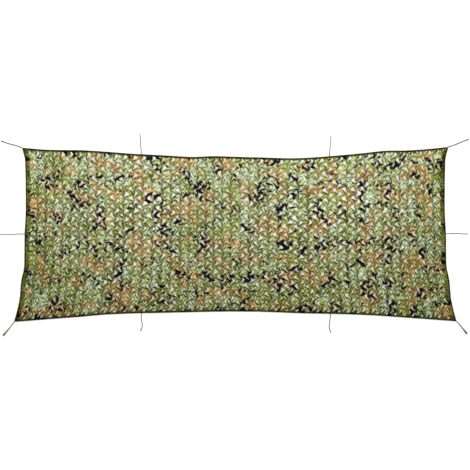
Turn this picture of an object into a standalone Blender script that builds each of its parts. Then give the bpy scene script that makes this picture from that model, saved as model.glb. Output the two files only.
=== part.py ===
"""Camouflage net laid out flat: one length of leaf-cut printed cloth, its bound edge and ten ties.

X runs along the net's length, Y across it and Z up. The origin is at the middle of the bound
outline, on the surface that the net lies on. Lengths are in metres, and the tables' in millimetres.
"""

import math

import bmesh
import bpy
import numpy as np
from mathutils.geometry import delaunay_2d_cdt

MM = 0.001
CLEAR = 0.0003  # between neighbouring pieces

# --- The bound outline. Each edge is a line between two corners that the tension of the ties
# draws in: (share of the way along the edge, drawn in by, mm).
CORNERS = {
    "top_left": (-1.971, 0.8010),
    "top_right": (1.970, 0.8085),
    "bottom_right": (2.044, -0.8030),
    "bottom_left": (-2.044, -0.8085),
}
TOP_DRAWN_IN = [
    (0, 0), (0.05, 20), (0.10, 32), (0.15, 35), (0.20, 56), (0.25, 74), (0.30, 90), (0.35, 101),
    (0.45, 93), (0.50, 87), (0.55, 81), (0.60, 88), (0.65, 77), (0.70, 66), (0.75, 55),
    (0.80, 39), (0.85, 26), (0.95, 17), (1, 0),
]
BOTTOM_DRAWN_IN = [
    (0, 0), (0.05, 15), (0.10, 31), (0.15, 46), (0.20, 64), (0.25, 74), (0.35, 83), (0.50, 93),
    (0.55, 91), (0.65, 76), (0.75, 66), (0.80, 58), (0.90, 30), (1, 0),
]
SIDE_DRAWN_IN = [
    (0, 0), (0.06, 31), (0.125, 41), (0.25, 53), (0.375, 62), (0.50, 61), (0.62, 68), (0.69, 69),
    (0.75, 52), (0.875, 40), (0.94, 22), (1, 0),
]

# --- Binding: the printed cloth folded over a rope and sewn down. Its section, mm: (in from the
# outline, up from the surface).
BINDING_WIDTH = 0.018
BINDING_SECTION = [(1.5, 0), (18, 0), (18, 3), (9.5, 3), (7.5, 6), (4.5, 7), (1.5, 6), (0, 3.2)]
LONG_EDGE_STEPS = 40
SHORT_EDGE_STEPS = 18

# --- Leaf cuts. The net's pitch is 84.6 by 80.4 mm, two mirrored cuts to a unit. The solid has
# every second one each way, at twice the size, so that it has the net's own share of openings.
CLOTH_THICK = 0.002
UNIT_LENGTH = 2 * 0.0846
UNIT_WIDTH = 2 * 0.0804
UNITS_ALONG = 21
UNITS_ACROSS = 7
# One cut, mm from its elbow: the leaf's tip is the inner elbow, and it stands up from the net.
CUT = [(-36, 50), (-24, -8), (-72, -70), (-14, -40), (8, -4), (2, 18)]
LEAF_TIP = 1
LEAF_RISE = 7.0  # mm, and it varies by this much either way:
LEAF_RISE_VARIES = 1.0

# --- Ties: where each leaves the outline, its diameter and its route, mm from there.
CORNER_TIES = [
    # name, corner, diameter mm, route
    ("tie_top_left_corner", "top_left", 6, [(0, 0), (-60, 21), (-125, 38), (-189, 61)]),
    ("tie_top_right_corner", "top_right", 6, [(0, 0), (62, 21), (125, 47), (185, 70)]),
    ("tie_bottom_right_corner", "bottom_right", 8, [(0, 0), (33, -36), (65, -77), (95, -114)]),
    ("tie_bottom_left_corner", "bottom_left", 8, [(0, 0), (-31, -43), (-65, -84), (-99, -126)]),
]
EDGE_TIES = [
    # name, edge, share along it, diameter mm, route
    ("tie_top_left", "top", 0.720, 4.5, [(0, 0), (-3, 45), (-8, 95), (-11, 145), (-14, 191)]),
    ("tie_top_right", "top", 0.2795, 4.5, [(0, 0), (4, 45), (9, 95), (13, 145), (15, 187)]),
    ("tie_left", "left", 0.494, 4.5, [(0, 0), (-60, 1), (-120, -4), (-175, -3), (-225, -6)]),
    ("tie_right", "right", 0.505, 4.5, [(0, 0), (55, -1), (105, 2), (155, -3), (201, -5)]),
    ("tie_bottom_left", "bottom", 0.288, 4.5,
     [(0, 0), (-1, -35), (0, -68), (7, -100), (4, -135), (-9, -165)]),
    ("tie_bottom_right", "bottom", 0.715, 4.5,
     [(0, 0), (-3, -45), (-9, -90), (-11, -125), (-4, -152), (5, -173)]),
]
# A stopper knot at each far end: (back from the end, in cord diameters, thickness in diameters).
KNOT = [(0, 0.9), (0.35, 1.0), (0.75, 1.6), (1.3, 1.85), (1.85, 1.6), (2.3, 1.0)]
TIE_STEP = 2.5  # diameters between a tie's points

# --- Materials: (colour, roughness)
PRINTED_CLOTH = ((0.19, 0.21, 0.08), 0.85)
BINDING_CLOTH = ((0.05, 0.06, 0.025), 0.85)
CORD = ((0.05, 0.05, 0.045), 0.8)


def clear_scene():
    for old in list(bpy.data.objects):
        bpy.data.objects.remove(old, do_unlink=True)


def material(name, look):
    colour, roughness = look
    made = bpy.data.materials.new(name)
    made.use_nodes = True
    shader = made.node_tree.nodes["Principled BSDF"]
    shader.inputs["Base Color"].default_value = (*colour, 1)
    shader.inputs["Roughness"].default_value = roughness
    shader.inputs["Metallic"].default_value = 0
    return made


def place(name, data, look, collection):
    data.materials.append(look)
    made = bpy.data.objects.new(name, data)
    collection.objects.link(made)
    return made


def smooth(at, table):
    """A cubic through the table's points, whose slope at each is that of its neighbours."""
    knots, values = np.array(table, float).T
    slopes = np.gradient(values, knots)
    i = np.clip(np.searchsorted(knots, at) - 1, 0, len(knots) - 2)
    span = knots[i + 1] - knots[i]
    t = (at - knots[i]) / span
    rise = (3 - 2 * t) * t * t
    return (
        values[i] * (1 - rise)
        + values[i + 1] * rise
        + slopes[i] * span * t * (1 - t) ** 2
        - slopes[i + 1] * span * t * t * (1 - t)
    )


def edge_points(start, end, drawn_in, shares):
    """Points on one edge of the outline, anticlockwise round the net, so inwards is its left."""
    start, end = np.array(CORNERS[start]), np.array(CORNERS[end])
    along = end - start
    inwards = np.array([-along[1], along[0]]) / np.linalg.norm(along)
    depth = smooth(shares, drawn_in) * MM
    return start + shares[:, None] * along + depth[:, None] * inwards


def outline():
    """The four edges, anticlockwise from the bottom left corner, each with both its corners."""
    long_shares = np.linspace(0, 1, LONG_EDGE_STEPS + 1)
    short_shares = np.linspace(0, 1, SHORT_EDGE_STEPS + 1)
    upwards = [(1 - share, depth) for share, depth in reversed(SIDE_DRAWN_IN)]
    return {
        "bottom": edge_points("bottom_left", "bottom_right", BOTTOM_DRAWN_IN, long_shares),
        "right": edge_points("bottom_right", "top_right", upwards, short_shares),
        "top": edge_points("top_right", "top_left", TOP_DRAWN_IN, long_shares),
        "left": edge_points("top_left", "bottom_left", SIDE_DRAWN_IN, short_shares),
    }


def crossing(a, b, c, d):
    """Where the line through a and b crosses the line through c and d."""
    u, v, w = b - a, d - c, c - a
    return a + u * (w[0] * v[1] - w[1] * v[0]) / (u[0] * v[1] - u[1] * v[0])


def inset(edges, depth):
    """The edges moved inwards by depth, with their ends where the moved neighbours cross."""
    moved = {}
    for name, line in edges.items():
        along = np.gradient(line, axis=0)
        along /= np.linalg.norm(along, axis=1)[:, None]
        moved[name] = line + depth * np.stack([-along[:, 1], along[:, 0]], axis=1)
    names = list(moved)
    for name, following in zip(names, names[1:] + names[:1]):
        a, b = moved[name], moved[following]
        a[-1] = b[0] = crossing(a[-2], a[-1], b[0], b[1])
    return moved


def loft(name, rings):
    """A closed solid through rings of points, all with the same number, and flat at both ends."""
    count = len(rings[0])
    shape = bmesh.new()
    made = [[shape.verts.new(point) for point in ring] for ring in rings]
    for near, far in zip(made, made[1:]):
        for k in range(count):
            following = (k + 1) % count
            shape.faces.new((near[k], near[following], far[following], far[k]))
    shape.faces.new(reversed(made[0]))
    shape.faces.new(made[-1])
    bmesh.ops.recalc_face_normals(shape, faces=shape.faces)
    mesh = bpy.data.meshes.new(name)
    shape.to_mesh(mesh)
    shape.free()
    return mesh


def binding(name, outer, inner):
    """The binding's section carried along one edge, mitred at both corners."""
    outer, inner = outer.copy(), inner.copy()
    for end, beside in ((0, 1), (-1, -2)):
        back = outer[beside] - outer[end]
        back *= CLEAR / np.linalg.norm(back)
        outer[end] += back
        inner[end] += back
    rings = []
    for out_point, in_point in zip(outer, inner):
        ring = []
        for inwards, height in BINDING_SECTION:
            x, y = out_point + (in_point - out_point) * (inwards * MM / BINDING_WIDTH)
            ring.append((x, y, height * MM))
        rings.append(ring)
    return loft(name, rings)


def leaf_cuts():
    """The cuts' outlines, and how far each of their points rises: columns of cuts that open to
    the left and to the right in turn, half a unit apart across the net."""
    cuts, rises = [], []
    for i in range(UNITS_ALONG):
        for facing, shift in ((1, 0.25), (-1, -0.25)):
            for j in range(UNITS_ACROSS):
                x = (i - (UNITS_ALONG - 1) / 2) * UNIT_LENGTH
                y = (j - (UNITS_ACROSS - 1) / 2 + shift) * UNIT_WIDTH
                cut = [(x + facing * dx * MM, y + dy * MM) for dx, dy in CUT]
                if facing < 0:
                    cut.reverse()
                cuts.append(cut)
                tip = LEAF_TIP if facing > 0 else len(CUT) - 1 - LEAF_TIP
                rise = LEAF_RISE + LEAF_RISE_VARIES * math.sin(2.1 * i + 3.7 * j + facing)
                rises.append([rise * MM if k == tip else 0 for k in range(len(CUT))])
    return cuts, rises


def cloth_surface(name, border):
    """The sheet inside the border, open at the leaf cuts, with their leaves' tips raised."""
    cuts, rises = leaf_cuts()
    points = [tuple(point) for point in border]
    heights = [0] * len(points)
    loops = [list(range(len(points)))]
    for cut, rise in zip(cuts, rises):
        loops.append(list(range(len(points), len(points) + len(cut))))
        points += cut
        heights += rise
    found = delaunay_2d_cdt(points, [], loops, 1, 1e-6)
    flat, triangles, came_from, inside = found[0], found[2], found[3], found[5]
    shape = bmesh.new()
    verts = [
        shape.verts.new((x, y, heights[origin[0]]))
        for (x, y), origin in zip(flat, came_from)
    ]
    for triangle, loops_round_it in zip(triangles, inside):
        if list(loops_round_it) == [0]:
            shape.faces.new([verts[k] for k in triangle])
    mesh = bpy.data.meshes.new(name)
    shape.to_mesh(mesh)
    shape.free()
    return mesh


def net_cloth(name, border, look, collection):
    sheet = place(name, cloth_surface(name, border), look, collection)
    wall = sheet.modifiers.new("thickness", "SOLIDIFY")
    wall.thickness = CLOTH_THICK
    wall.offset = 1
    return sheet


def tie(name, start, diameter, route, look, collection):
    """A cord on the surface: a smooth curve through its route, with a knot at its far end."""
    route = np.array(route, float) * MM
    first = route[1] / np.linalg.norm(route[1])
    route = route + np.array(start) + first * (CLEAR + 0.05 * diameter)
    lengths = np.linalg.norm(np.diff(route, axis=0), axis=1)
    knots = np.concatenate([[0], np.cumsum(lengths)])
    knot_from = knots[-1] - KNOT[-1][0] * diameter
    steps = max(4, round(knot_from / (TIE_STEP * diameter)))
    stops = [(at, 1.0) for at in np.linspace(0, knot_from, steps + 1)]
    stops += [(knots[-1] - back * diameter, thick) for back, thick in reversed(KNOT[:-1])]
    at, thick = np.array(stops).T
    curve = bpy.data.curves.new(name, "CURVE")
    curve.dimensions = "3D"
    curve.bevel_depth = diameter / 2
    curve.bevel_resolution = 2
    curve.use_fill_caps = True
    line = curve.splines.new("POLY")
    line.points.add(len(at) - 1)
    across = smooth(at, list(zip(knots, route[:, 0])))
    along = smooth(at, list(zip(knots, route[:, 1])))
    for point, x, y, width in zip(line.points, across, along, thick):
        point.co = (x, y, width * diameter / 2, 1)
        point.radius = width
    place(name, curve, look, collection)


def build():
    clear_scene()
    net = bpy.data.collections.new("camouflage_net")
    bpy.context.scene.collection.children.link(net)
    printed = material("printed_cloth", PRINTED_CLOTH)
    bound = material("binding_cloth", BINDING_CLOTH)
    cord = material("tie_cord", CORD)

    edges = outline()
    inner = inset(edges, BINDING_WIDTH)
    for name in edges:
        mesh = binding(f"binding_{name}", edges[name], inner[name])
        place(f"binding_{name}", mesh, bound, net)

    border = np.concatenate([line[:-1] for line in inset(edges, BINDING_WIDTH + CLEAR).values()])
    net_cloth("net_cloth", border, printed, net)

    for name, corner, diameter, route in CORNER_TIES:
        tie(name, CORNERS[corner], diameter * MM, route, cord, net)
    for name, edge, share, diameter, route in EDGE_TIES:
        line = edges[edge]
        at = np.linspace(0, 1, len(line))
        start = [np.interp(share, at, line[:, k]) for k in range(2)]
        tie(name, start, diameter * MM, route, cord, net)


build()
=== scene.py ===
"""A leaf-cut camouflage net, laid out flat and seen from straight above.

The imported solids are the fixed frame. X runs along the net, Y across it and Z up. Lengths are in
metres, or in millimetres where a comment says mm.
"""

import bmesh
import bpy
import numpy as np
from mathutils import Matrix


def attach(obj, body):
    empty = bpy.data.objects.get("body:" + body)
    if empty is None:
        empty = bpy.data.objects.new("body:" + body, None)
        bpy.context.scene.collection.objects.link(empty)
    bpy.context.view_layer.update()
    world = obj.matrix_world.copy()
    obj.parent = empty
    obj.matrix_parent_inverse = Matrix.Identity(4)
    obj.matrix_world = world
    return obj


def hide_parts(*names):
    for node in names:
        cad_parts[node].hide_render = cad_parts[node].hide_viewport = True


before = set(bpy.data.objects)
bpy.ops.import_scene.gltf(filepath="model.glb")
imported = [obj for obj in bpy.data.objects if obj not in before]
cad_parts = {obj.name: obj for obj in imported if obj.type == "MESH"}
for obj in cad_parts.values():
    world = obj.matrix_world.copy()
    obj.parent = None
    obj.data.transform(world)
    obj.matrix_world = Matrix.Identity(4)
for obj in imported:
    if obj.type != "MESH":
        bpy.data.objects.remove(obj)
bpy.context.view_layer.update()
scene = bpy.context.scene
MM = 0.001


# --- Camera. The photograph looks straight down on the net from far above, and its 470 pixels
# take in 4.34 m, so the camera stands 12 m up with a long lens.
PHOTO_PIXELS, PIXEL = 470, 9.24  # mm to a pixel
VIEW_WIDTH = PHOTO_PIXELS * PIXEL * MM
PHOTO_MIDDLE = (-0.0028, -0.0055)
LENS, SENSOR = 100.0, 36.0  # mm
FARTHEST = 100.0
camera = bpy.data.objects.new("camera", bpy.data.cameras.new("camera"))
camera.data.lens, camera.data.sensor_width = LENS, SENSOR
camera.data.clip_end = FARTHEST
camera.location = (*PHOTO_MIDDLE, VIEW_WIDTH * LENS / SENSOR)
scene.collection.objects.link(camera)
scene.camera = camera


# --- Ties: ten lengths of dark braided polypropylene cord, tied to the rope in the binding and
# stopped with an overhand knot at the free end. The four at the corners are heavier cord.
CORNERS = {
    "top_left": (-1.971, 0.8010),
    "top_right": (1.970, 0.8085),
    "bottom_right": (2.044, -0.8030),
    "bottom_left": (-2.044, -0.8085),
}
# Each edge is a line between two corners that the tension of the ties draws in: (share of the
# way along it, drawn in by, mm). Edges run anticlockwise, so inwards is to their left.
SIDE_DRAWN_IN = [
    (0, 0), (0.06, 31), (0.125, 41), (0.25, 53), (0.375, 62), (0.50, 61), (0.62, 68), (0.69, 69),
    (0.75, 52), (0.875, 40), (0.94, 22), (1, 0),
]
EDGES = {
    "bottom": ("bottom_left", "bottom_right", [
        (0, 0), (0.05, 15), (0.10, 31), (0.15, 46), (0.20, 64), (0.25, 74), (0.35, 83),
        (0.50, 93), (0.55, 91), (0.65, 76), (0.75, 66), (0.80, 58), (0.90, 30), (1, 0),
    ]),
    "right": ("bottom_right", "top_right", [(1 - at, by) for at, by in SIDE_DRAWN_IN[::-1]]),
    "top": ("top_right", "top_left", [
        (0, 0), (0.05, 20), (0.10, 32), (0.15, 35), (0.20, 56), (0.25, 74), (0.30, 90),
        (0.35, 101), (0.45, 93), (0.50, 87), (0.55, 81), (0.60, 88), (0.65, 77), (0.70, 66),
        (0.75, 55), (0.80, 39), (0.85, 26), (0.95, 17), (1, 0),
    ]),
    "left": ("top_left", "bottom_left", SIDE_DRAWN_IN),
}
# The corner that each tie leaves, its diameter and its route from there, mm.
CORNER_TIES = [
    ("top_left", 6, [(0, 0), (-60, 21), (-125, 38), (-189, 61)]),
    ("top_right", 6, [(0, 0), (62, 21), (125, 47), (185, 70)]),
    ("bottom_right", 8, [(0, 0), (33, -36), (65, -77), (95, -114)]),
    ("bottom_left", 8, [(0, 0), (-31, -43), (-65, -84), (-99, -126)]),
]
# The same for the others, with the edge and the share of the way along it in place of a corner.
EDGE_TIES = [
    ("top_left", "top", 0.720, 4.5, [(0, 0), (-3, 45), (-8, 95), (-11, 145), (-14, 191)]),
    ("top_right", "top", 0.2795, 4.5, [(0, 0), (4, 45), (9, 95), (13, 145), (15, 187)]),
    ("left", "left", 0.494, 4.5, [(0, 0), (-60, 1), (-120, -4), (-175, -3), (-225, -6)]),
    ("right", "right", 0.505, 4.5, [(0, 0), (55, -1), (105, 2), (155, -3), (201, -5)]),
    ("bottom_left", "bottom", 0.288, 4.5,
     [(0, 0), (-1, -35), (0, -68), (7, -100), (4, -135), (-9, -165)]),
    ("bottom_right", "bottom", 0.715, 4.5,
     [(0, 0), (-3, -45), (-9, -90), (-11, -125), (-4, -152), (5, -173)]),
]
CORD_SIDES, CORD_POINTS = 12, 36  # points round a cord and along it
CORD_GAP, GAP_SHARE = 0.0003, 0.05  # from the binding to a cord, plus a share of its diameter
HEAVY_FROM = 7 * MM  # the diameter from which a cord is a heavy one
# The rest are in diameters. Half a cord's thickness as it lies, loosened: for a light cord, for a
# heavy one at the net, and how much more that is at its end.
LIGHT_HALF, HEAVY_HALF, HEAVY_SWELL = 0.63, 0.38, 0.48
# The middle of a knot, back from the end and up, and the length of cord that it lifts, and by how
# much.
KNOT_BACK, KNOT_UP, KNOTTED, KNOT_LIFT = 1.35, 0.72, 2.4, 0.1
# A knot's reach, its rise and half the thickness of its cord.
KNOT_REACH, KNOT_RISE, KNOT_HALF = 0.27, 0.3, 0.36
KNOT_POINTS = 60
STRAND = 1.6 * MM  # a braided strand, from one crossing to the next


def smooth(at, table):
    """A cubic through the table's points, whose slope at each is that of its neighbours."""
    knots, values = np.array(table, float).T
    slopes = np.gradient(values, knots)
    i = np.clip(np.searchsorted(knots, at) - 1, 0, len(knots) - 2)
    span = knots[i + 1] - knots[i]
    t = (at - knots[i]) / span
    rise = (3 - 2 * t) * t * t
    return (
        values[i] * (1 - rise)
        + values[i + 1] * rise
        + slopes[i] * span * t * (1 - t) ** 2
        - slopes[i + 1] * span * t * t * (1 - t)
    )


def edge_line(name, shares):
    """Points at these shares of an edge: its straight line, plus its depth at right angles."""
    start, end, drawn_in = EDGES[name]
    start, end = np.array(CORNERS[start]), np.array(CORNERS[end])
    along = end - start
    inwards = np.array([-along[1], along[0]]) / np.linalg.norm(along)
    depth = smooth(shares, drawn_in) * MM
    return start + shares[:, None] * along + depth[:, None] * inwards


def srgb(code):
    """#rrggbb as linear light: ((c + 0.055) / 1.055) ** 2.4, or c / 12.92 where it is dark."""
    c = np.array([int(code[k:k + 2], 16) / 255 for k in (1, 3, 5)])
    return (*np.where(c > 0.04045, ((c + 0.055) / 1.055) ** 2.4, c / 12.92), 1.0)


def new_material(name, roughness, specular):
    """A material whose principled shader has these even settings."""
    made = bpy.data.materials.new(name)
    made.use_nodes = True
    shader = made.node_tree.nodes["Principled BSDF"]
    shader.inputs["Roughness"].default_value = roughness
    shader.inputs["Specular IOR Level"].default_value = specular
    return made


def add(material, kind, inputs=(), **settings):
    """Adds a node with its settings. Inputs gives sockets a value, or the output to link."""
    tree = material.node_tree
    made = tree.nodes.new("ShaderNode" + kind)
    for name, value in settings.items():
        setattr(made, name, value)
    for socket, value in dict(inputs).items():
        if isinstance(value, bpy.types.NodeSocket):
            tree.links.new(value, made.inputs[socket])
        else:
            made.inputs[socket].default_value = value
    return made


def finish_with(material, colour, height, strength, distance):
    """Links a colour and, through a bump, a height in 0..1 to the material's shader."""
    shader = material.node_tree.nodes["Principled BSDF"]
    bump = add(material, "Bump", {"Strength": strength, "Distance": distance, "Height": height})
    material.node_tree.links.new(colour, shader.inputs["Base Color"])
    material.node_tree.links.new(bump.outputs[0], shader.inputs["Normal"])


def grid_piece(name, points, along, across, closed, look):
    """A mesh through rows of points (n, m, 3), with a UV map of along (n) and across (m), in
    metres. If closed, each row is a ring, and a point in the middle of each end closes it."""
    n, m = points.shape[:2]
    row, column = np.meshgrid(np.arange(n - 1), np.arange(m if closed else m - 1), indexing="ij")
    row, column = row.ravel(), column.ravel()
    corners = [(row, column), (row, column + 1), (row + 1, column + 1), (row + 1, column)]
    faces = np.stack([r * m + c % m for r, c in corners], axis=1).tolist()
    uv = np.stack([np.stack([along[r], across[c]], axis=1) for r, c in corners], axis=1)
    uv = uv.reshape(-1, 2)
    flat = points.reshape(-1, 3)
    if closed:
        middles = points[[0, -1]].mean(axis=1)
        k = np.arange(m)
        start = np.stack([np.full(m, n * m), (k + 1) % m, k], axis=1)
        end = np.stack([np.full(m, n * m + 1), k, (k + 1) % m], axis=1)
        end[:, 1:] += (n - 1) * m
        faces += start.tolist() + end.tolist()
        flat = np.concatenate([flat, middles])
        fans = [
            np.stack([np.full((m, 3), along[e]), across[np.stack([k, k + 1, k], 1)]], axis=2)
            for e in (0, -1)
        ]
        uv = np.concatenate([uv, *(fan.reshape(-1, 2) for fan in fans)])
    mesh = bpy.data.meshes.new(name)
    mesh.from_pydata(flat.tolist(), [], faces)
    mesh.uv_layers.new(name="UVMap").data.foreach_set("uv", uv.ravel())
    mesh.polygons.foreach_set("use_smooth", np.ones(len(faces), bool))
    mesh.materials.append(look)
    mesh.validate()
    made = bpy.data.objects.new(name, mesh)
    scene.collection.objects.link(made)
    return made


def tube(name, path, radii, look):
    """Rings of points round a path, at right angles to it, each of its own radius."""
    along = np.gradient(path, axis=0)
    along /= np.linalg.norm(along, axis=1)[:, None]
    side = np.cross(along, (0.0, 0.0, 1.0))
    side /= np.linalg.norm(side, axis=1)[:, None]
    up = np.cross(side, along)
    turn = np.linspace(0, 2 * np.pi, CORD_SIDES, endpoint=False)[None, :, None]
    rings = path[:, None] + np.asarray(radii)[:, None, None] * (
        np.cos(turn) * side[:, None] + np.sin(turn) * up[:, None]
    )
    steps = np.linalg.norm(np.diff(path, axis=0), axis=1)
    distance = np.concatenate([[0], np.cumsum(steps)])
    round_it = np.linspace(0, 2 * np.pi * np.mean(radii), CORD_SIDES + 1)
    return grid_piece(name, rings, distance, round_it, True, look)


def braided_cord():
    """Braided polypropylene: matt, dark, with a diamond weave. Two waves wind round the cord in
    opposite ways, as sin(2 pi (along + or - round) / strand), and the strand that is on top is
    the higher of them."""
    made = new_material("braided_polypropylene", roughness=0.8, specular=0.12)
    uv = add(made, "TexCoord").outputs["UV"]
    place = add(made, "SeparateXYZ", {0: uv}).outputs
    waves = []
    for way in (1.0, -1.0):
        wound = add(made, "Math", {0: place[1], 1: way, 2: place[0]},
                    operation="MULTIPLY_ADD").outputs[0]
        turned = add(made, "Math", {0: wound, 1: 2 * np.pi / STRAND},
                     operation="MULTIPLY").outputs[0]
        waves.append(add(made, "Math", {0: turned}, operation="SINE").outputs[0])
    top = add(made, "Math", {0: waves[0], 1: waves[1]}, operation="MAXIMUM").outputs[0]
    strand = add(made, "MapRange", {"Value": top, "From Min": -0.6, "From Max": 1.0}).outputs[0]
    # Painted shade: the cord is coloured darker in the grooves between its strands, by the same
    # height that the bump takes.
    colour = add(made, "ValToRGB", {0: strand})
    colour.color_ramp.elements[0].color = srgb("#0a0a09")
    colour.color_ramp.elements[1].color = srgb("#1f201c")
    finish_with(made, colour.outputs[0], strand, strength=0.6, distance=0.4 * MM)
    return made


def overhand_knot(name, middle, direction, diameter, look):
    """A small trefoil, pulled tight: the line (2 + cos 3t) round in t by 2t, up by sin 3t."""
    t = np.linspace(0, 2 * np.pi, KNOT_POINTS + 1)[:-1]
    outwards = (2 + np.cos(3 * t)) * KNOT_REACH * diameter
    across = np.array([-direction[1], direction[0], 0])
    path = (
        np.array(middle)
        + (outwards * np.cos(2 * t))[:, None] * np.array([*direction[:2], 0])
        + (outwards * np.sin(2 * t))[:, None] * across
        + (np.sin(3 * t) * KNOT_RISE * diameter)[:, None] * np.array([0, 0, 1])
    )
    path = np.concatenate([path, path[:1]])
    return tube(name, path, np.full(len(path), KNOT_HALF * diameter), look)


def tie(node, start, diameter, route, look):
    """A cord from the binding along its route, which a cubic makes smooth, and its knot. It rests
    on the surface. The heavy cord is tight at the net and frays towards its end."""
    route = np.array(route, float) * MM
    first = route[1] / np.linalg.norm(route[1])
    route = route + np.array(start) + first * (CORD_GAP + GAP_SHARE * diameter)
    steps = np.linalg.norm(np.diff(route, axis=0), axis=1)
    stops = np.concatenate([[0], np.cumsum(steps)])
    length = stops[-1]
    at = np.linspace(0, length, CORD_POINTS)
    x, y = (smooth(at, list(zip(stops, route[:, k]))) for k in range(2))
    if diameter > HEAVY_FROM:
        radii = diameter * (HEAVY_HALF + HEAVY_SWELL * (at / length) ** 2)
    else:
        radii = diameter * np.full(CORD_POINTS, LIGHT_HALF)
    path = np.stack([x, y, radii], axis=1)
    path[:, 2] += np.where(at > length - KNOTTED * diameter, KNOT_LIFT * diameter, 0)
    cord = tube(f"{node}_cord", path, radii, look)
    last = path[-1] - path[-3]
    last /= np.linalg.norm(last)
    middle = path[-1] - last * (KNOT_BACK * diameter)
    middle[2] = KNOT_UP * diameter
    knot = overhand_knot(f"{node}_knot", middle, last, diameter, look)
    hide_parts(node)
    for piece in (cord, knot):
        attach(piece, "root")


tie_cord = braided_cord()
for corner, thick, route in CORNER_TIES:
    tie(f"tie_{corner}_corner", CORNERS[corner], thick * MM, route, tie_cord)
for place_name, edge, share, thick, route in EDGE_TIES:
    start = edge_line(edge, np.array([share]))[0]
    tie(f"tie_{place_name}", start, thick * MM, route, tie_cord)


# --- Floor and light: a white floor, which shows through the cuts, and soft light from all
# round, most of it low. A long softbox hangs over the top edge, where the net is brightest, and
# the floor is painted a little greyer under it, a painted shade that takes back some of its light,
# so that the thin ties there don't drown in it.
FLOOR_REACH = 40.0
GREY_Y, GREY_ALONG, GREY_ACROSS = 1.14, 3.6, 0.92  # the oval of painted shade on the floor: its middle and its reach
GREYEST = 0.33  # the share of the way in from its rim at which it is greyest
SOFTBOX_SIZE, SOFTBOX_PLACE, SOFTBOX_TILT = (6.0, 0.5), (0, 1.35, 1.05), -0.35
SOFTBOX_WATTS = 40.0
LOW_LIGHT, HIGH_LIGHT = 2.46, 0.8  # the world's strength at the horizon and overhead
floor_corners = FLOOR_REACH * np.array([(-1, -1, 0), (1, -1, 0), (1, 1, 0), (-1, 1, 0)])
floor_mesh = bpy.data.meshes.new("floor")
floor_mesh.from_pydata(floor_corners.tolist(), [], [(0, 1, 2, 3)])
white_floor = new_material("white_floor", roughness=0.9, specular=0.0)
oval = add(white_floor, "Mapping", {
    "Vector": add(white_floor, "TexCoord").outputs["Object"],
    "Scale": (1 / GREY_ALONG, 1 / GREY_ACROSS, 1.0), "Location": (0.0, -GREY_Y / GREY_ACROSS, 0.0),
})
inwards = add(white_floor, "TexGradient", {0: oval.outputs[0]}, gradient_type="SPHERICAL")
floor_colour = add(white_floor, "ValToRGB", {0: inwards.outputs["Fac"]})
ramp = floor_colour.color_ramp
ramp.interpolation = "EASE"
# Painted shade: the floor runs from near white outside to light grey in the oval.
ramp.elements[0].color = srgb("#e8e7e3")
ramp.elements[1].position, ramp.elements[1].color = GREYEST, srgb("#d0cfcb")
white_floor.node_tree.links.new(
    floor_colour.outputs[0], white_floor.node_tree.nodes["Principled BSDF"].inputs["Base Color"])
floor_mesh.materials.append(white_floor)
floor = bpy.data.objects.new("floor", floor_mesh)
scene.collection.objects.link(floor)

world = bpy.data.worlds.new("studio")
world.use_nodes = True
background = world.node_tree.nodes["Background"]
background.inputs["Color"].default_value = (1, 1, 1, 1)
upwards = add(world, "SeparateXYZ", {0: add(world, "TexCoord").outputs["Generated"]}).outputs[2]
strength = add(world, "MapRange", {"Value": upwards, "To Min": LOW_LIGHT, "To Max": HIGH_LIGHT})
world.node_tree.links.new(strength.outputs[0], background.inputs["Strength"])
scene.world = world
scene.view_settings.view_transform = "Standard"
softbox = bpy.data.objects.new("softbox", bpy.data.lights.new("softbox", "AREA"))
softbox.data.shape = "RECTANGLE"
softbox.data.size, softbox.data.size_y = SOFTBOX_SIZE
softbox.data.energy = SOFTBOX_WATTS
softbox.location = SOFTBOX_PLACE
softbox.rotation_euler = (SOFTBOX_TILT, 0, 0)
softbox.visible_camera = False
scene.collection.objects.link(softbox)


# --- Binding: a strip of the printed cloth on each edge, folded double over a thin rope and sewn
# down with two rows of stitches. It is drawn tight, so it lies in small puckers, and painted shade
# makes it darker.
BINDING_WIDTH = 0.018
# Its section, mm: (in from the outline, up from the surface).
BINDING_SECTION = [
    (1.5, 0.0), (9.0, 0.0), (17.6, 0.0), (18.0, 0.7), (17.8, 2.0), (15.0, 2.6), (12.0, 2.7),
    (9.6, 3.0), (8.0, 4.9), (6.4, 6.3), (4.5, 7.0), (2.6, 6.5), (1.0, 5.2), (0.1, 3.4), (0.3, 1.2),
]
BINDING_STEP = 0.016
# Its puckers: the wavelengths over 2 pi of a short, a long and a middling wave, and how much of
# its height the first two, multiplied, and the third take and give.
PUCKER_WAVES, PUCKER_SHARES = (0.0067, 0.031, 0.019), (0.10, 0.06)
# The print's noises: (scale per metre, offset, detail, roughness), and the values from which, and
# at which in full, a patch shows. A patch is about 0.6 / scale metres across. The branches lie
# along the lines where their noise is close to 0.5, and only where the noise "where" lets them.
PRINT_NOISES = {
    "greens": (7.0, (3.1, 0, 0), 2.0, 0.6),
    "mottle": (32.0, (4.4, 0, 1.0), 1.0, 0.5),
    "flecks": (42.0, (0, 2.2, 6.0), 1.0, 0.5),
    "ochre": (6.5, (0, 7.7, 0), 2.0, 0.5),
    "branches": (12.5, (0, 0, 5.3), 1.5, 0.5),
    "where": (6.5, (9.1, 2.2, 0), 1.0, 0.5),
}
PRINT_PATCHES = {
    "mottle": (0.42, 0.58), "flecks": (0.58, 0.38), "ochre": (0.53, 0.555),
    "branches": (0.072, 0.06), "where": (0.54, 0.56),
}
PRINT_STRETCH = (0.8, 1.0, 1.0)  # the patches are a little longer than they are wide
DRIFT_SCALE, DRIFT_REACH = 9.0, 0.16  # a coarse noise that bends them all
GREENS = [(0.40, "#98a246"), (0.50, "#abba6c"), (0.58, "#b9cca3")]
DARK_GREEN, DARK_OCHRE, OCHRE, DARK_BROWN = "#5c6822", "#8a722c", "#c09e5c", "#0e0a0a"
WEAVE = 1.2 * MM  # from thread to thread: coarser than in the real cloth, so that it shows


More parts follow.
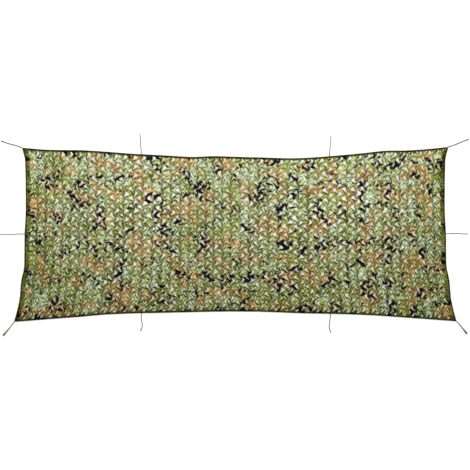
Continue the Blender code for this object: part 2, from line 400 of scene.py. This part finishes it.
def crossing(a, b, c, d):
    """Where the line through a and b crosses the line through c and d."""
    u, v, w = b - a, d - c, c - a
    return a + u * (w[0] * v[1] - w[1] * v[0]) / (u[0] * v[1] - u[1] * v[0])


def inset(edges, depth):
    """The edges moved inwards by depth, with their ends where the moved neighbours cross."""
    moved = {}
    for name, line in edges.items():
        along = np.gradient(line, axis=0)
        along /= np.linalg.norm(along, axis=1)[:, None]
        moved[name] = line + depth * np.stack([-along[:, 1], along[:, 0]], axis=1)
    names = list(moved)
    for name, following in zip(names, names[1:] + names[:1]):
        a, b = moved[name], moved[following]
        a[-1] = b[0] = crossing(a[-2], a[-1], b[0], b[1])
    return moved


def woodland_print(material, coordinates):
    """The dyes of the print, as one colour: three greens that run into each other, with darker
    flecks, mottled ochre patches 90 to 180 mm across, and dark brown branches 45 to 90 mm across
    over both. The whole is drawn on coordinates that a coarse noise has moved."""
    longer = add(material, "VectorMath", {0: coordinates, 1: PRINT_STRETCH},
                 operation="MULTIPLY").outputs[0]
    drift = add(material, "TexNoise", {"Vector": longer, "Scale": DRIFT_SCALE, "Detail": 2.0})
    moved = add(material, "VectorMath", {0: drift.outputs["Color"], 1: (0.5, 0.5, 0.5)},
                operation="SUBTRACT").outputs[0]
    moved = add(material, "VectorMath", {0: moved, "Scale": DRIFT_REACH},
                operation="SCALE").outputs[0]
    place = add(material, "VectorMath", {0: longer, 1: moved}).outputs[0]

    noise = {}
    for part, (scale, offset, detail, roughness) in PRINT_NOISES.items():
        shifted = add(material, "VectorMath", {0: place, 1: offset}).outputs[0]
        noise[part] = add(material, "TexNoise", {
            "Vector": shifted, "Scale": scale, "Detail": detail, "Roughness": roughness,
        }).outputs["Fac"]
    off_line = add(material, "Math", {0: noise["branches"], 1: 0.5}, operation="SUBTRACT")
    off_line = add(material, "Math", {0: off_line.outputs[0]}, operation="ABSOLUTE")
    noise["branches"] = off_line.outputs[0]
    patch = {}
    for part, (low, high) in PRINT_PATCHES.items():
        patch[part] = add(material, "MapRange", {
            "Value": noise[part], "From Min": low, "From Max": high,
        }, interpolation_type="SMOOTHSTEP").outputs[0]

    greens = add(material, "ValToRGB", {0: noise["greens"]})
    ramp = greens.color_ramp
    ramp.elements.new(GREENS[2][0])
    for element, (at, code) in zip(ramp.elements, GREENS):
        element.position, element.color = at, srgb(code)
    dark = add(material, "Math", {0: patch["branches"], 1: patch["where"]}, operation="MULTIPLY")
    ochre = add(material, "Mix", {0: patch["mottle"], 6: srgb(DARK_OCHRE), 7: srgb(OCHRE)},
                data_type="RGBA")
    colour = greens.outputs[0]
    for amount, over in (
        (patch["flecks"], srgb(DARK_GREEN)), (patch["ochre"], ochre.outputs[2]),
        (dark.outputs[0], srgb(DARK_BROWN)),
    ):
        colour = add(material, "Mix", {0: amount, 6: colour, 7: over}, data_type="RGBA").outputs[2]
    return colour


def cloth_bump(material, coordinates):
    """Plain weave, as a height: the product of a wave along the warp and one along the weft."""
    scaled = add(material, "VectorMath", {0: coordinates, "Scale": np.pi / WEAVE},
                 operation="SCALE").outputs[0]
    parts = add(material, "SeparateXYZ", {0: scaled}).outputs
    warp, weft = (add(material, "Math", {0: parts[k]}, operation="SINE").outputs[0] for k in (0, 1))
    return add(material, "Math", {0: warp, 1: weft}, operation="MULTIPLY").outputs[0]


def folded_binding():
    """The printed polyester, doubled: the same print, but made far darker by painted shade, so
    that it is only faintly seen.
    """
    made = new_material("doubled_printed_polyester_painted_shade", roughness=0.9, specular=0.06)
    coordinates = add(made, "TexCoord").outputs
    colour = woodland_print(made, coordinates["Object"])
    # Painted shade: the print is mixed 95 per cent of the way to near black.
    dark = add(made, "Mix", {0: 0.95, 6: colour, 7: srgb("#070906")}, data_type="RGBA")
    weave = cloth_bump(made, coordinates["Object"])
    finish_with(made, dark.outputs[2], weave, strength=0.3, distance=0.3 * MM)
    return made


def binding(name, look):
    """The section carried along one edge between the outline and the line inside it, with small
    puckers: its height wavers along it by short * long + middling, each a sine."""
    outer, inner = edges[name], inner_edges[name]
    section = np.array(BINDING_SECTION) * MM
    share = section[:, 0] / BINDING_WIDTH
    flat = outer[:, None] + (inner - outer)[:, None] * share[None, :, None]
    steps = np.linalg.norm(np.diff(outer, axis=0), axis=1)
    along = np.concatenate([[0], np.cumsum(steps)])
    short, long, middling = (along / wave for wave in PUCKER_WAVES)
    first, second = PUCKER_SHARES
    pucker = first * np.sin(short) * np.sin(long + 1) + second * np.sin(middling)
    height = section[None, :, 1] * (1 + pucker[:, None])
    points = np.concatenate([flat, height[:, :, None]], axis=2)
    ring = np.linalg.norm(np.diff(section[np.r_[0:len(section), 0]], axis=0), axis=1)
    made = grid_piece(f"{name}_binding", points, along, np.concatenate([[0], np.cumsum(ring)]),
                      True, look)
    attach(made, "root")
    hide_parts(f"binding_{name}")
    return made


def shares_of(name):
    """Even shares along an edge, a binding step apart."""
    line = edge_line(name, np.linspace(0, 1, 50))
    length = np.linalg.norm(np.diff(line, axis=0), axis=1).sum()
    return np.linspace(0, 1, round(length / BINDING_STEP) + 1)


edges = {name: edge_line(name, shares_of(name)) for name in EDGES}
inner_edges = inset(edges, BINDING_WIDTH)
binding_cloth = folded_binding()
bindings = {name: binding(name, binding_cloth) for name in EDGES}


# --- Net cloth: one length of woven polyester, printed, and cut all over with boomerang-shaped
# leaf cuts that open to the left and to the right in turn. Pulled out, each leaf's tip draws back
# and lifts, and the strands between the cuts twist. No cloth is cut away.
UNIT_LENGTH, UNIT_WIDTH = 84.6, 80.4  # mm, a pair of columns and a row of cuts
UNITS_ALONG, UNITS_ACROSS = 46, 18
MARGINS = {"side": 0.5, "bottom": 0.18, "top": 0.0}  # uncut cloth, in units
TUCKED_IN = 0.012  # how far the cloth goes into the binding
# The pitch of the cuts along the net, which is pulled out more in some places: (share of its
# length, pitch in pixels of the photograph).
PITCHES = [
    (0, 8.35), (0.09, 8.5), (0.20, 9.15), (0.31, 9.8), (0.37, 9.2), (0.425, 8.15), (0.53, 9.45),
    (0.645, 10.4), (0.76, 9.45), (0.87, 8.65), (1, 8.4),
]
# An open cut: x and y, mm from its elbow, its edge's height above the surface, mm, and how much
# painted shade darkens the cloth at the edge and behind it. It starts at the upper end and goes
# anticlockwise, down the leaf to the lower end and back up the strand.
CUT = np.array([
    (-24.5, 20.5, 9.0, 0.35, 0.55), (-20.0, 13.5, 11.0, 0.25, 0.75), (-15.5, 7.5, 14.0, 0.15, 0.85),
    (-11.5, 2.0, 17.0, 0.1, 0.9), (-10.0, -3.5, 19.0, 0.1, 0.9), (-17.0, -8.0, 17.0, 0.15, 0.9),
    (-27.0, -12.5, 14.0, 0.2, 0.85), (-36.5, -18.5, 11.0, 0.3, 0.7), (-44.0, -25.5, 9.0, 0.4, 0.5),
    (-45.5, -30.0, 9.0, 0.35, 0.45), (-38.5, -31.0, 9.0, 0.65, 0.6), (-30.0, -29.0, 9.5, 0.9, 0.85),
    (-22.5, -25.5, 10.0, 1.0, 1.0), (-14.5, -20.5, 10.0, 1.0, 1.0), (-7.0, -15.0, 9.0, 1.0, 0.95),
    (-0.5, -9.0, 8.0, 0.85, 0.8), (4.5, -2.0, 7.0, 0.6, 0.5), (1.0, 6.0, 7.0, 0.65, 0.55),
    (-5.5, 12.0, 7.0, 0.75, 0.65), (-12.0, 17.0, 7.5, 0.8, 0.7), (-18.0, 20.5, 8.0, 0.75, 0.6),
    (-23.0, 22.5, 8.5, 0.6, 0.5),
])
ELBOW = (-2.7, 44.0)  # mm, a cut's elbow from the middle of its column and the bottom of its cell
# The cut's points lie opposite each other, so these pairs close it: point k and point 20 - k.
CUT_MIDDLE = CUT[:, :2].copy()
CUT_MIDDLE[:21] = (CUT[:21, :2] + CUT[20::-1, :2]) / 2
# The cell round a cut, as (share from spine to elbow line, share up): down the spine, along the
# bottom, up the elbow line and back along the top.
SIDE = np.arange(9) / 8
CELL = np.array(
    [(0, 1 - up) for up in SIDE] + [(1 / 3, 0), (2 / 3, 0)]
    + [(1, up) for up in SIDE] + [(2 / 3, 1), (1 / 3, 1)]
)
# At the top edge every second column ends in half a cell, with the lower arm of a cut alone.
HALF_CUT = np.array([
    (-8.5, -6.0, 7.0, 0.4, 0.8), (-16.0, -9.0, 8.0, 0.4, 0.8), (-24.0, -13.5, 8.0, 0.4, 0.8),
    (-33.0, -19.0, 7.5, 0.3, 0.7), (-41.0, -26.0, 7.0, 0.2, 0.5), (-42.0, -29.0, 6.5, 0.15, 0.3),
    (-35.0, -29.5, 6.0, 0.3, 0.25), (-27.0, -26.5, 5.5, 0.5, 0.3), (-19.0, -22.5, 5.0, 0.7, 0.4),
    (-11.5, -18.0, 4.5, 0.7, 0.4), (-4.5, -12.5, 4.5, 0.5, 0.3), (-1.0, -8.5, 4.5, 0.2, 0.1),
    (-1.5, -6.0, 5.0, 0.1, 0.1), (-4.5, -5.0, 6.0, 0.1, 0.1),
])
HALF_CELL = np.array(
    [(0, 0.5 - up / 2) for up in SIDE[::2]] + [(1 / 3, 0), (2 / 3, 0)]
    + [(1, up / 2) for up in SIDE[::2]] + [(2 / 3, 0.5), (1 / 3, 0.5)]
)
# At the bottom edge the same columns start with the upper arm of a cut.
UPPER_HALF_CUT = np.array([
    (-24.5, 20.5, 7.0, 0.35, 0.5), (-22.0, 17.0, 7.5, 0.3, 0.6), (-19.0, 12.5, 8.0, 0.2, 0.6),
    (-15.0, 7.0, 8.0, 0.15, 0.7), (-10.5, 2.5, 8.0, 0.1, 0.7), (-6.0, 0.0, 7.5, 0.2, 0.5),
    (-1.0, -0.8, 7.0, 0.4, 0.4), (4.0, 0.5, 6.0, 0.4, 0.3), (1.5, 6.0, 6.0, 0.45, 0.3),
    (-5.0, 11.5, 6.0, 0.5, 0.35), (-9.0, 14.5, 6.0, 0.55, 0.4), (-13.0, 17.5, 6.5, 0.6, 0.4),
    (-18.0, 20.5, 7.0, 0.6, 0.45), (-22.5, 22.0, 7.5, 0.5, 0.45),
])
# The rings of points from a cut out to the edge of its cell: how far out each lies, and how much
# it shows of the painted shade at the cut, of the painted shade behind it, more of that on a leaf,
# and of the cloth's reverse.
RING_OUT, RING_NEAR, RING_BEHIND, RING_LEAF, RING_REVERSE = np.array([
    (0.0, 1.0, 0.0, 0.0, 1.0), (0.42, 0.25, 0.65, -0.4, 0.9), (0.72, 0.0, 0.45, 0.45, 0.2),
    (1.0, 0.0, 0.0, 0.0, 0.0),
]).T
LEAF_FROM, LEAF_RISE = 8.0, 11.0  # mm: the edge height where a leaf begins, and its tip's above it
BOW, LEAF_BOW = 2.5, 1.5  # mm: how far the cloth sags between a cut and its cell's edge
BOW_FROM, BOW_RISE = 5.0, 4.0  # mm: the edge height where it starts to sag, and over which it grows
CELL_CLEAR = (0.08, 0.93)  # the shares of its cell's breadth between which a cut stays
# How one cut differs from the next: the middle and the spread of each draw, and its limits.
WIDTHS, WIDTH_LIMITS = (0.87, 0.17), (0.35, 1.6)  # how wide it is, times openness
BACK_SPREAD, BACK_LIMIT = 0.11, 0.8  # how far its leaf is drawn back, added to pulled_back
TIP_SPREAD = (2.5, 2.5)  # mm, where its leaf's tip lies
TURN_SPREAD, SIZE_SPREAD, SHIFT_SPREAD = 0.09, 0.06, 1.8  # radians, a share, mm
LIFTS, LIFT_LIMITS = (1, 0.3), (0.1, 1.3)  # how high its leaf's tip rises
SHADES, SHADE_LIMITS = (1, 0.15), (0.4, 1.4)  # how much painted shade darkens its folds
REVERSES, REVERSE_LIMITS = (0.95, 0.2), (0.3, 1.3)  # how much of the reverse its leaf shows
SHUT_LIFT, OPEN_LIFT = 0.6, 0.4  # a tip's rise on a shut cut, and what an open one adds to it
BOTTOM_SHADE, TOP_LOSS = 1.06, 0.3  # the painted fold shade's strength at the bottom edge, and how much less at the top
# The painted shade where the cloth is gathered at the sides', the bottom and the top seam, and its
# reach, in units.
SEAM_SHADES = [(0.55, 0.45), (0.9, 0.34), (1.0, 0.3)]
# Places on the net, as shares of its length and width: (the middle, the reach each way). Packing
# left two creases, and leaves are drawn back most in two places and less in a third.
CREASES = [((0.385, 0.5), (0.018, 9)), ((0.66, 0.5), (0.015, 9))]
DRAWN_MOST = [((0.27, 0.72), (0.09, 0.3)), ((0.73, 0.75), (0.08, 0.3))]
DRAWN_LESS = ((0.63, 0.45), (0.04, 0.3))
PULLED, PULLED_FROM = 0.042, 1.6  # units: how far the cloth is pulled about, and how far inside
ABOUT_LENGTH, ABOUT_WIDTH = 4.0, 1.45  # the net's, to turn shares into distances from its edge
HEM_HEIGHT = 1.5  # mm, the cloth's at the binding
HEM_FLAT, HEM_RISE = 0.008, 0.035  # how far in it stays so low, and over what distance it rises
PITCH_STEPS, EDGE_POINTS = 400, 201  # points along the running sum, and along an edge
CLOTH_THICK = 0.0005
WELD = 0.00002  # points closer than this are merged


def spine(column, across):
    """The line between two columns of leaves, 7 mm * cos(2 pi across - 1.25) off the straight,
    so that it sways away from the cuts' lower ends."""
    return column - 7.0 / UNIT_LENGTH * np.cos(2 * np.pi * across - 1.25)


def elbow_line(column, across):
    """The strand between two columns of elbows, 10 mm * cos(2 pi across - 3.36) off the straight,
    which keeps it clear of both."""
    return column + 0.5 + 10.0 / UNIT_LENGTH * np.cos(2 * np.pi * across - 3.36)


def rest_height(along, across):
    """The height of the cloth between the cuts, mm: high on the strands, low on the spines, with
    two long, shallow waves."""
    return (
        10.5
        - 2.5 * np.cos(2 * np.pi * along)
        + 0.8 * np.sin(2 * np.pi * (0.23 * along + 0.31 * across))
        + 0.7 * np.sin(2 * np.pi * (0.11 * along - 0.17 * across) + 1)
    )


def rest_painted_shade(along, across):
    """The painted shade on the cloth between the cuts: dark in the hollow of each spine, but little
    on the strands, by an amount that drifts from place to place."""
    drift = np.sin(2 * np.pi * (0.21 * along + 0.13 * across)) * np.sin(2 * np.pi * 0.17 * across)
    hollow = ((1 + np.cos(2 * np.pi * along)) / 2) ** 1.5
    return 0.17 + 0.14 * drift + 0.45 * hollow


def from_seams(along, across):
    """How far in from the nearer side's, the bottom and the top seam, in units."""
    side = np.minimum(along, UNITS_ALONG - along) + MARGINS["side"]
    return side, across + MARGINS["bottom"], UNITS_ACROSS + MARGINS["top"] - across


def seam_painted_shade(along, across):
    """How much painted shade darkens the cloth where it is gathered at the seams, falling off
    inwards from each as exp(-(distance / reach) ** 2)."""
    side, bottom, top = (
        shade * np.exp(-((distance / reach) ** 2))
        for distance, (shade, reach) in zip(from_seams(along, across), SEAM_SHADES)
    )
    return side + bottom + top


def coons_patch(share_along, share_across):
    """The point at these shares of the bound outline: the lines between opposite edges, added,
    less the same from the corners alone."""
    a, b = share_along[..., None], share_across[..., None]

    def line(name, share):
        at = np.linspace(0, 1, len(cloth_edges[name]))
        return np.stack([np.interp(share[..., 0], at, cloth_edges[name][:, k]) for k in (0, 1)], -1)

    low, high = line("bottom", a), line("top", 1 - a)
    left, right = line("left", 1 - b), line("right", b)
    corners = [cloth_edges[name][0] for name in ("bottom", "right", "left", "top")]
    bilinear = (1 - a) * ((1 - b) * corners[0] + b * corners[2]) + a * (
        (1 - b) * corners[1] + b * corners[3]
    )
    return (1 - b) * low + b * high + (1 - a) * left + a * right - bilinear


def place_cloth(along, across, height):
    """Cloth coordinates in units, and a height in mm, to metres. The pitches say how far apart
    the columns lie, as the running sum of their inverse. Away from the seams the cloth has been
    pulled about, by two waves each way. At the seams it comes down to the binding."""
    side, bottom, top = from_seams(along, across)
    inside = np.minimum(side, np.minimum(bottom, top))
    pulled = PULLED * np.clip(inside / PULLED_FROM, 0, 1)
    turn = 2 * np.pi
    sway = (np.sin(turn * (0.61 * along + 0.23 * across) + 1.4 * np.sin(turn * 0.19 * across))
            + np.sin(turn * (0.37 * along - 0.46 * across) + 1.1 * np.sin(turn * 0.13 * along)))
    lift = (np.sin(turn * (0.29 * along + 0.52 * across) + 1.3 * np.sin(turn * 0.11 * along) + 2)
            + np.sin(turn * (0.55 * along - 0.27 * across) + 1.2 * np.sin(turn * 0.23 * across)))
    along, across = along + pulled * sway, across + pulled * lift
    share, pitch = np.array(PITCHES).T
    fine = np.linspace(0, 1, PITCH_STEPS)
    count = np.concatenate([[0], np.cumsum(1 / np.interp(fine[1:], share, pitch))])
    count = count / count[-1] * (UNITS_ALONG + 2 * MARGINS["side"]) - MARGINS["side"]
    a = np.interp(along, count, fine)
    b = (across + MARGINS["bottom"]) / (UNITS_ACROSS + MARGINS["bottom"] + MARGINS["top"])
    flat = coons_patch(a, b)
    from_edge = np.minimum(np.minimum(a, 1 - a) * ABOUT_LENGTH, np.minimum(b, 1 - b) * ABOUT_WIDTH)
    free = np.clip((from_edge - HEM_FLAT) / HEM_RISE, 0, 1)
    height = HEM_HEIGHT + (height - HEM_HEIGHT) * free * free * (3 - 2 * free)
    return np.concatenate([flat, height[..., None] * MM], axis=-1)


def hill(a, b, middle, reach):
    """1 at the middle, falling off each way as exp(-(distance / reach) ** 2)."""
    return np.exp(-(((a - middle[0]) / reach[0]) ** 2) - ((b - middle[1]) / reach[1]) ** 2)


def openness(along, across):
    """How far the cuts have opened: 1 is usual. They are wider towards the top edge and stay more
    closed near the bottom, the sides and the two creases that packing left."""
    a, b = along / UNITS_ALONG, across / UNITS_ACROSS
    crease = 0.35 * sum(hill(a, b, *place) for place in CREASES)
    side = 0.32 * np.exp(-((np.minimum(a, 1 - a) / 0.1) ** 2)) + 0.15 * np.exp(-((b / 0.2) ** 2))
    drift = 0.12 * np.sin(along * 0.9 + 1.7 * np.sin(across * 0.4)) * np.sin(across * 0.7 + 0.5)
    return 0.82 + 0.28 * b + drift - crease - side


def pulled_back(along, across):
    """How far a leaf's tip is drawn back, 0 to 1: most in two places along the upper half, where
    the cuts gape as triangles."""
    a, b = along / UNITS_ALONG, across / UNITS_ACROSS
    most = sum(hill(a, b, *place) for place in DRAWN_MOST)
    return 0.08 + 0.55 * most + 0.4 * hill(a, b, *DRAWN_LESS)


def cut_outlines(column, row, cut, rng):
    """Each cut's points, x and y in mm from its elbow, with how wide it is, and how much of a
    leaf's tip each point is. The points move out from the cut's middle line by its width, those
    of the leaf back towards the chord between the cut's ends, and then the whole cut turns, grows
    and shifts a little."""
    count = len(column)
    middle = CUT_MIDDLE if len(cut) == len(CUT_MIDDLE) else cut[:, :2]
    wide = openness(column, row) * rng.normal(*WIDTHS, count)
    shape = middle + np.clip(wide, *WIDTH_LIMITS)[:, None, None] * (cut[:, :2] - middle)
    leaf = np.clip((cut[:, 2] - LEAF_FROM) / LEAF_RISE, 0, 1)
    ends = cut[[0, int(np.argmin(cut[:, 0]))], :2]
    down = (ends[0, 1] - cut[:, 1]) / max(np.ptp(ends[:, 1]), 1)
    chord = ends[0] + np.clip(down, 0, 1)[:, None] * (ends[1] - ends[0])
    back = np.clip(pulled_back(column, row) + rng.normal(0, BACK_SPREAD, count), 0, BACK_LIMIT)
    back = back[:, None, None] * np.minimum(3 * leaf, 1)[:, None]
    shape = shape + back * (chord - shape)
    shape = shape + leaf[:, None] * rng.normal(0, TIP_SPREAD, (count, 1, 2))
    turn = rng.normal(0, TURN_SPREAD, count)[:, None]
    size = rng.normal(1, SIZE_SPREAD, count)[:, None]
    shift = rng.normal(0, SHIFT_SPREAD, (count, 2, 1))
    centre = cut[:, :2].mean(axis=0)
    x, y = shape[..., 0] - centre[0], shape[..., 1] - centre[1]
    x, y = (
        size * (x * np.cos(turn) - y * np.sin(turn)) + centre[0] + shift[:, 0],
        size * (x * np.sin(turn) + y * np.cos(turn)) + centre[1] + shift[:, 1],
    )
    return x, y, wide[:, None], leaf


def cut_cells(column, row, facing, cut, cell, rng):
    """The cloth of many cells at once: rings of points from each cut's edge out to its cell's,
    which is the same from both of its sides. Between the two the cloth sags by 4 * out * (1 - out).
    The painted shade in its folds is weaker towards the top edge, which the softbox lights most."""
    count, points, rings = len(column), len(cut), len(RING_OUT)
    x, y, wide, leaf = cut_outlines(column, row, cut, rng)
    of_spine = (column + (0 if facing > 0 else 1))[:, None]
    along = column[:, None] + 0.5 + facing * (x + ELBOW[0]) / UNIT_LENGTH
    up = row[:, None] + (y + ELBOW[1]) / UNIT_WIDTH
    start, end = spine(of_spine, up), elbow_line(column[:, None], up)
    along = start + (end - start) * np.clip((along - start) / (end - start), *CELL_CLEAR)
    inside = np.stack([along, up])
    lift = rng.normal(*LIFTS, count)[:, None] * (SHUT_LIFT + OPEN_LIFT * wide)
    edge_height = cut[:, 2] + LEAF_RISE * leaf * (np.clip(lift, *LIFT_LIMITS) - 1)

    across = row[:, None] + cell[:, 1]
    start, end = spine(of_spine, across), elbow_line(column[:, None], across)
    outside = np.stack([start + (end - start) * cell[:, 0], across])
    out = RING_OUT[None, :, None]
    place = inside[:, :, None] * (1 - out) + outside[:, :, None] * out
    bow = 4 * out * (1 - out)
    height = edge_height[:, None] * (1 - out) + rest_height(*outside)[:, None] * out
    sag = BOW * np.clip((cut[:, 2] - BOW_FROM) / BOW_RISE, 0, 1) + LEAF_BOW * leaf
    height = height - bow * sag
    # Painted shade: how dark each cut's folds are painted, less towards the top edge.
    shade = np.clip(rng.normal(*SHADES, count), *SHADE_LIMITS)
    shade = shade * (BOTTOM_SHADE - TOP_LOSS * row / UNITS_ACROSS)
    near, behind = RING_NEAR[:, None], RING_BEHIND[:, None] + RING_LEAF[:, None] * leaf
    # The painted shade at each point: the cut's own at its edge and behind it, that between the
    # cuts, and that at the seams.
    painted_shade = shade[:, None, None] * (near * cut[:, 3] + behind * cut[:, 4])
    painted_shade = painted_shade + (1 - near - behind) * rest_painted_shade(*outside)[:, None] + seam_painted_shade(*place)
    reverse = np.clip(rng.normal(*REVERSES, count), *REVERSE_LIMITS)[:, None, None]
    reverse = reverse * RING_REVERSE[:, None] * leaf ** 0.6

    ring, k = np.meshgrid(np.arange(rings - 1), np.arange(points), indexing="ij")
    following = (k + 1) % points
    corners = [(ring, k), (ring, following), (ring + 1, following), (ring + 1, k)]
    one = np.stack([r * points + c for r, c in corners], axis=-1).reshape(-1, 4)
    if facing > 0:
        one = one[:, ::-1]
    first = np.arange(count)[:, None, None] * points * rings
    faces = (first + one).reshape(-1, 4)
    looks = np.clip([painted_shade, reverse], 0, 1).reshape(2, -1)
    return place.reshape(2, -1), height.ravel(), looks, faces


def plain_patch(along, across):
    """Uncut cloth: a grid of faces through rows of points, in cloth coordinates."""
    rows, columns = along.shape
    r, c = np.meshgrid(np.arange(rows - 1), np.arange(columns - 1), indexing="ij")
    corners = [(r, c), (r, c + 1), (r + 1, c + 1), (r + 1, c)]
    faces = np.stack([i * columns + j for i, j in corners], axis=-1).reshape(-1, 4)
    if (along[0, -1] - along[0, 0]) * (across[-1, 0] - across[0, 0]) < 0:
        faces = faces[:, ::-1]
    height = rest_height(along, across)
    painted_shade = (rest_painted_shade(along, across) + seam_painted_shade(along, across)).ravel()
    looks = np.clip([painted_shade, np.zeros(len(painted_shade))], 0, 1)
    return np.stack([along, across]).reshape(2, -1), height.ravel(), looks, faces


def border_points(first, last, across):
    """The points along a row's bottom or top edge, as they are in the cells that it borders."""
    stops = np.arange(first, last)
    lines = np.stack([spine(stops, across), elbow_line(stops, across), spine(stops + 1, across)])
    thirds = np.array([0, 1, 2])[:, None] / 3
    parts = [lines[k] + (lines[k + 1] - lines[k]) * thirds for k in (0, 1)]
    line = np.concatenate(parts).T.ravel()
    return np.append(line, spine(last, across))


def net_piece(name, first, last, rng):
    """The net from one spine to another: every cell between them, the half cells at both long
    edges, and the uncut margins, merged where their edges meet and given the cloth's thickness."""
    columns, top_row = np.arange(first, last, dtype=float), float(UNITS_ACROSS)
    parts = []
    for facing, rows in ((1, np.arange(top_row)), (-1, np.arange(top_row - 1) + 0.5)):
        column, row = np.meshgrid(columns, rows)
        parts.append(cut_cells(column.ravel(), row.ravel(), facing, CUT, CELL, rng))
    for row, cut, up in ((top_row - 0.5, HALF_CUT, 0.0), (-0.5, UPPER_HALF_CUT, 0.5)):
        rows = np.full(len(columns), row)
        parts.append(cut_cells(columns, rows, -1, cut, HALF_CELL + (0, up), rng))

    bottom, top = -MARGINS["bottom"], top_row + MARGINS["top"]
    low, high = [bottom, bottom / 2, 0.0], [top_row, top]
    for levels, base in ((low, 0.0), (high, top_row)):
        line = border_points(first, last, base)
        across = np.array(levels)[:, None] * np.ones(len(line))
        parts.append(plain_patch(np.ones((len(levels), 1)) * line, across))
    eighths, thirds = np.arange(UNITS_ACROSS * 8 + 1) / 8, np.arange(4) / 3
    levels = np.concatenate([low[:-1], eighths, high[1:]])
    for column, out in ((0, -1), (UNITS_ALONG, 1)):
        if column not in (first, last):
            continue
        inside = spine(column, np.clip(levels, 0, UNITS_ACROSS))[:, None]
        far = column + out * MARGINS["side"]
        parts.append(plain_patch(inside + (far - inside) * thirds, levels[:, None] * np.ones(4)))

    places, heights, looks, quads = zip(*parts)
    place, height = np.concatenate(places, 1), np.concatenate(heights)
    looks = np.concatenate(looks, 1)
    before = np.concatenate([[0], np.cumsum([len(h) for h in heights])])
    faces = np.concatenate([quad + start for quad, start in zip(quads, before)])
    mesh = bpy.data.meshes.new(name)
    mesh.from_pydata(place_cloth(*place, height).tolist(), [], faces.tolist())
    for look, values in zip(("painted_shade", "reverse"), looks):
        mesh.attributes.new(look, "FLOAT", "POINT").data.foreach_set("value", values)
    shape = bmesh.new()
    shape.from_mesh(mesh)
    bmesh.ops.remove_doubles(shape, verts=shape.verts, dist=WELD)
    shape.to_mesh(mesh)
    shape.free()
    mesh.polygons.foreach_set("use_smooth", np.ones(len(mesh.polygons), bool))
    mesh.materials.append(net_cloth)
    made = bpy.data.objects.new(name, mesh)
    scene.collection.objects.link(made)
    wall = made.modifiers.new("thickness", "SOLIDIFY")
    wall.thickness = CLOTH_THICK
    wall.offset = 0
    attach(made, "root")
    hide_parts("net_cloth")
    return made


def printed_polyester():
    """Thin plain-woven polyester with the woodland print. The dye is weak on its reverse, which
    shows where a leaf turns over, and painted shade darkens it where it turns under and along
    its folds."""
    made = new_material("printed_polyester", roughness=0.85, specular=0.06)
    coordinates = add(made, "TexCoord").outputs["Object"]
    colour = woodland_print(made, coordinates)
    reverse = add(made, "Attribute", attribute_name="reverse").outputs["Fac"]
    weak = add(made, "MapRange", {
        "Value": reverse, "From Min": 0.1, "From Max": 0.8, "To Max": 0.58,
    }, interpolation_type="SMOOTHSTEP").outputs[0]
    turned = add(made, "Mix", {0: weak, 6: colour, 7: srgb("#e0d3cb")}, data_type="RGBA")
    # Painted shade: the colour is multiplied towards dark olive by the painted shade attribute.
    painted_shade = add(made, "Attribute", attribute_name="painted_shade").outputs["Fac"]
    sharp = add(made, "MapRange", {"Value": painted_shade, "From Min": 0.08, "From Max": 0.88},
                interpolation_type="SMOOTHSTEP").outputs[0]
    shaded = add(made, "Mix", {0: sharp, 6: turned.outputs[2], 7: srgb("#6e713c")},
                 data_type="RGBA", blend_type="MULTIPLY")
    weave = cloth_bump(made, coordinates)
    finish_with(made, shaded.outputs[2], weave, strength=0.25, distance=0.3 * MM)
    return made


# The mesh is divided along two spines, to keep each part light: (part, its first spine and its
# last, the edges that it hangs from).
PARTS = [
    ("left", 0, 15, ["left"]),
    ("middle", 15, 31, ["bottom", "top"]),
    ("right", 31, 46, ["right"]),
]
net_cloth = printed_polyester()
cloth_edges = inset({name: edge_line(name, np.linspace(0, 1, EDGE_POINTS)) for name in EDGES},
                    BINDING_WIDTH - TUCKED_IN)
rng = np.random.default_rng(11)
for part, first, last, hems in PARTS:
    made = net_piece(f"net_cloth_{part}", first, last, rng)
